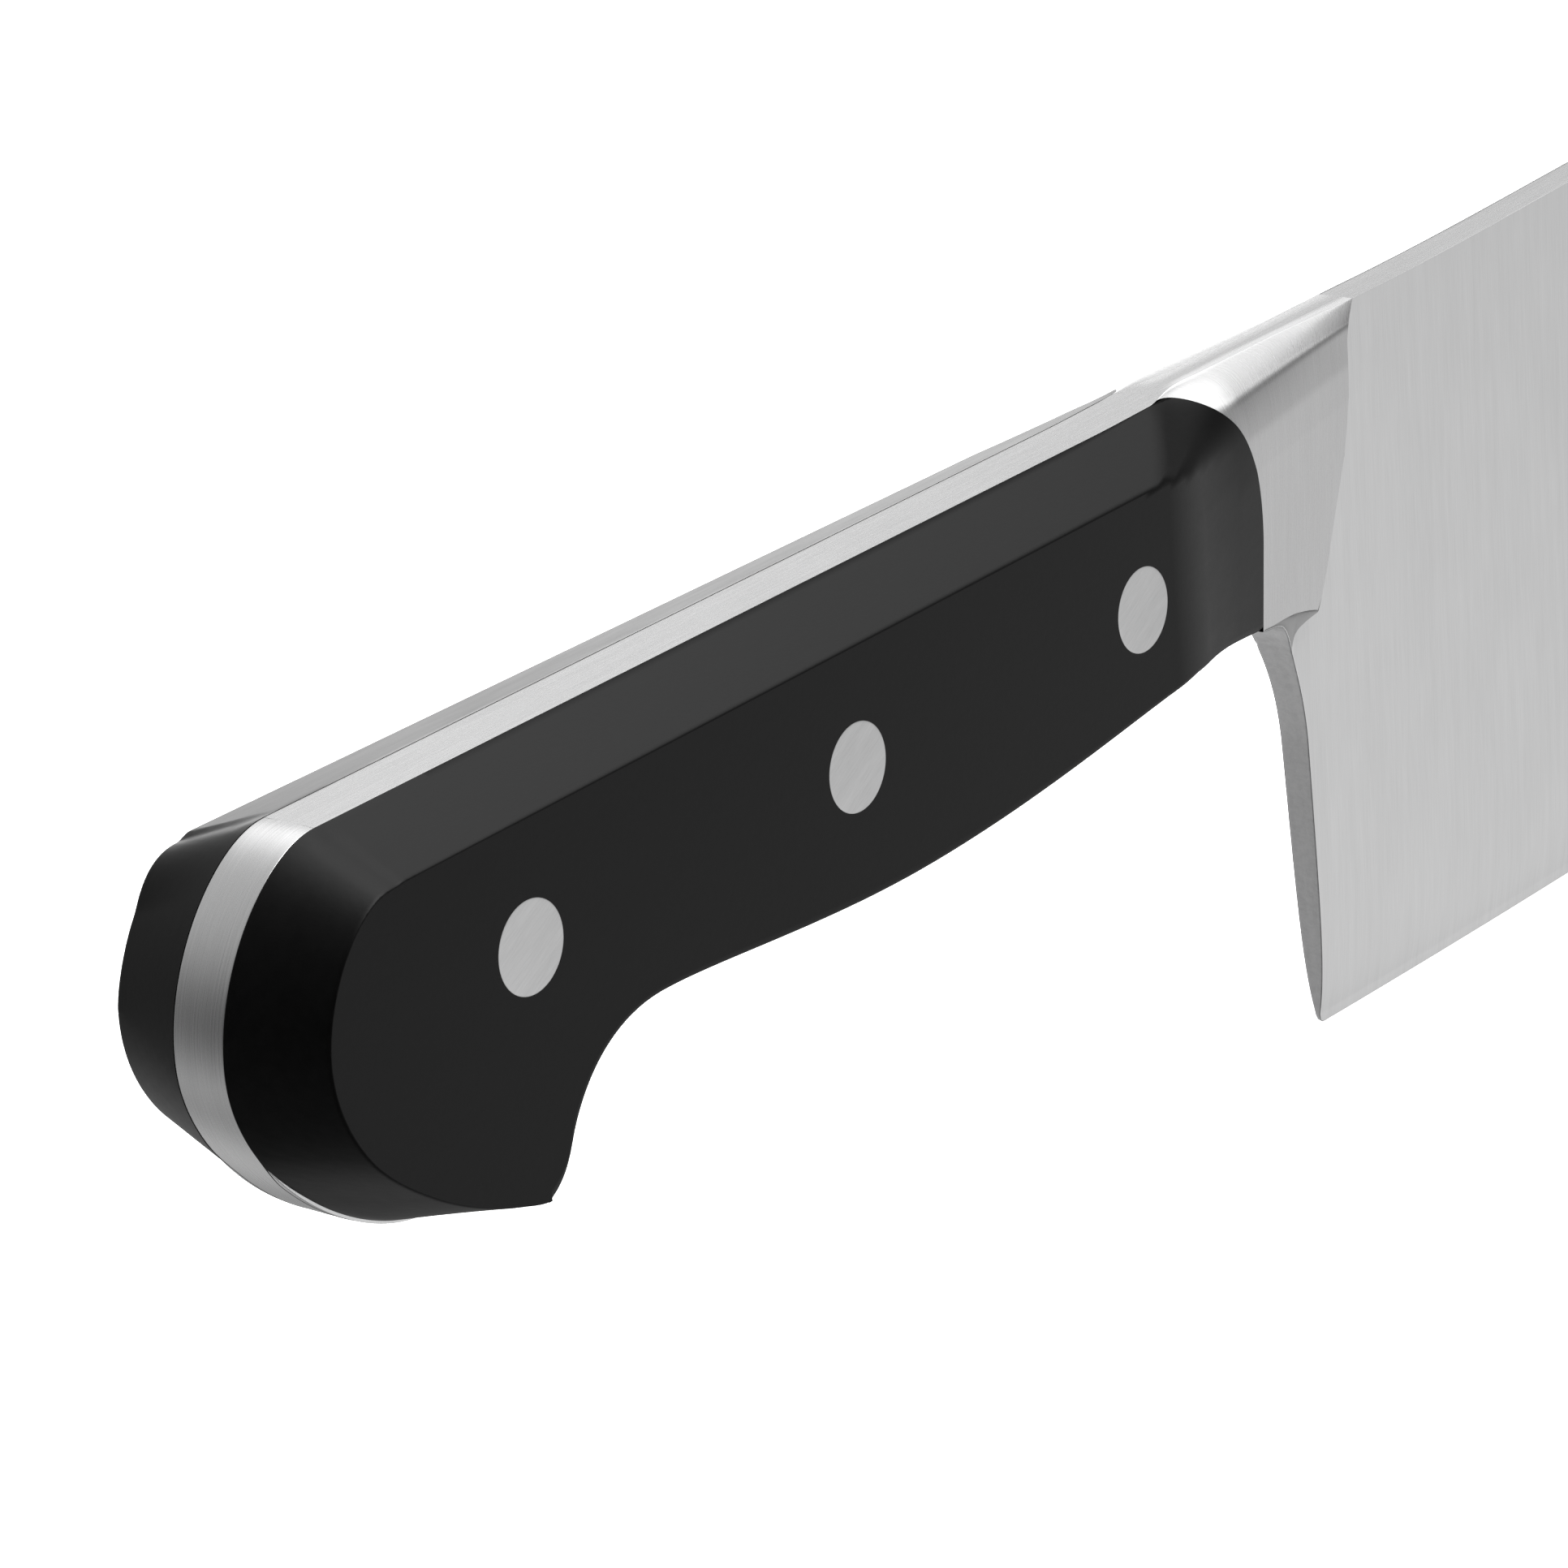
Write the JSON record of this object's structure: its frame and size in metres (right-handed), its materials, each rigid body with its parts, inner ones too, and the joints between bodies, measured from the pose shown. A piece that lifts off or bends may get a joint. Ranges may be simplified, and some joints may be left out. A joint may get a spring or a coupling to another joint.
{
  "type": "chef knife",
  "caption": "Forged full-tang chef's knife with a wide blade, tapering half bolster, exposed heel and black riveted scales ending in a hooked butt.",
  "frame": {"origin": "Middle of the bounding box in X and Y, on the plane that touches the lowest point of the cutting edge. The knife stands edge down, as it is drawn and gripped, not as it would come to rest by itself.", "axes": "+X runs from the butt to the tip, +Z from the edge to the spine, +Y to the left-hand side of the knife; -Y is the right-hand side, the one that the picture shows"},
  "size_m": [0.3542, 0.0188, 0.0622],
  "materials": {
    "forged_steel": "satin ground, brush marks up and down the blade",
    "scale_plastic": "fine satin moulded and ground plastic, semi-matte",
    "rivet_steel": "ground flush, fine straight grinding marks"
  },
  "bodies": {
    "root": {"blade_bolster_tang": "forged_steel", "right_scale": "scale_plastic", "left_scale": "scale_plastic", "rear_rivet_female": "rivet_steel", "rear_rivet_male": "rivet_steel", "middle_rivet_female": "rivet_steel", "middle_rivet_male": "rivet_steel", "front_rivet_female": "rivet_steel", "front_rivet_male": "rivet_steel"}
  },
  "joints": []
}
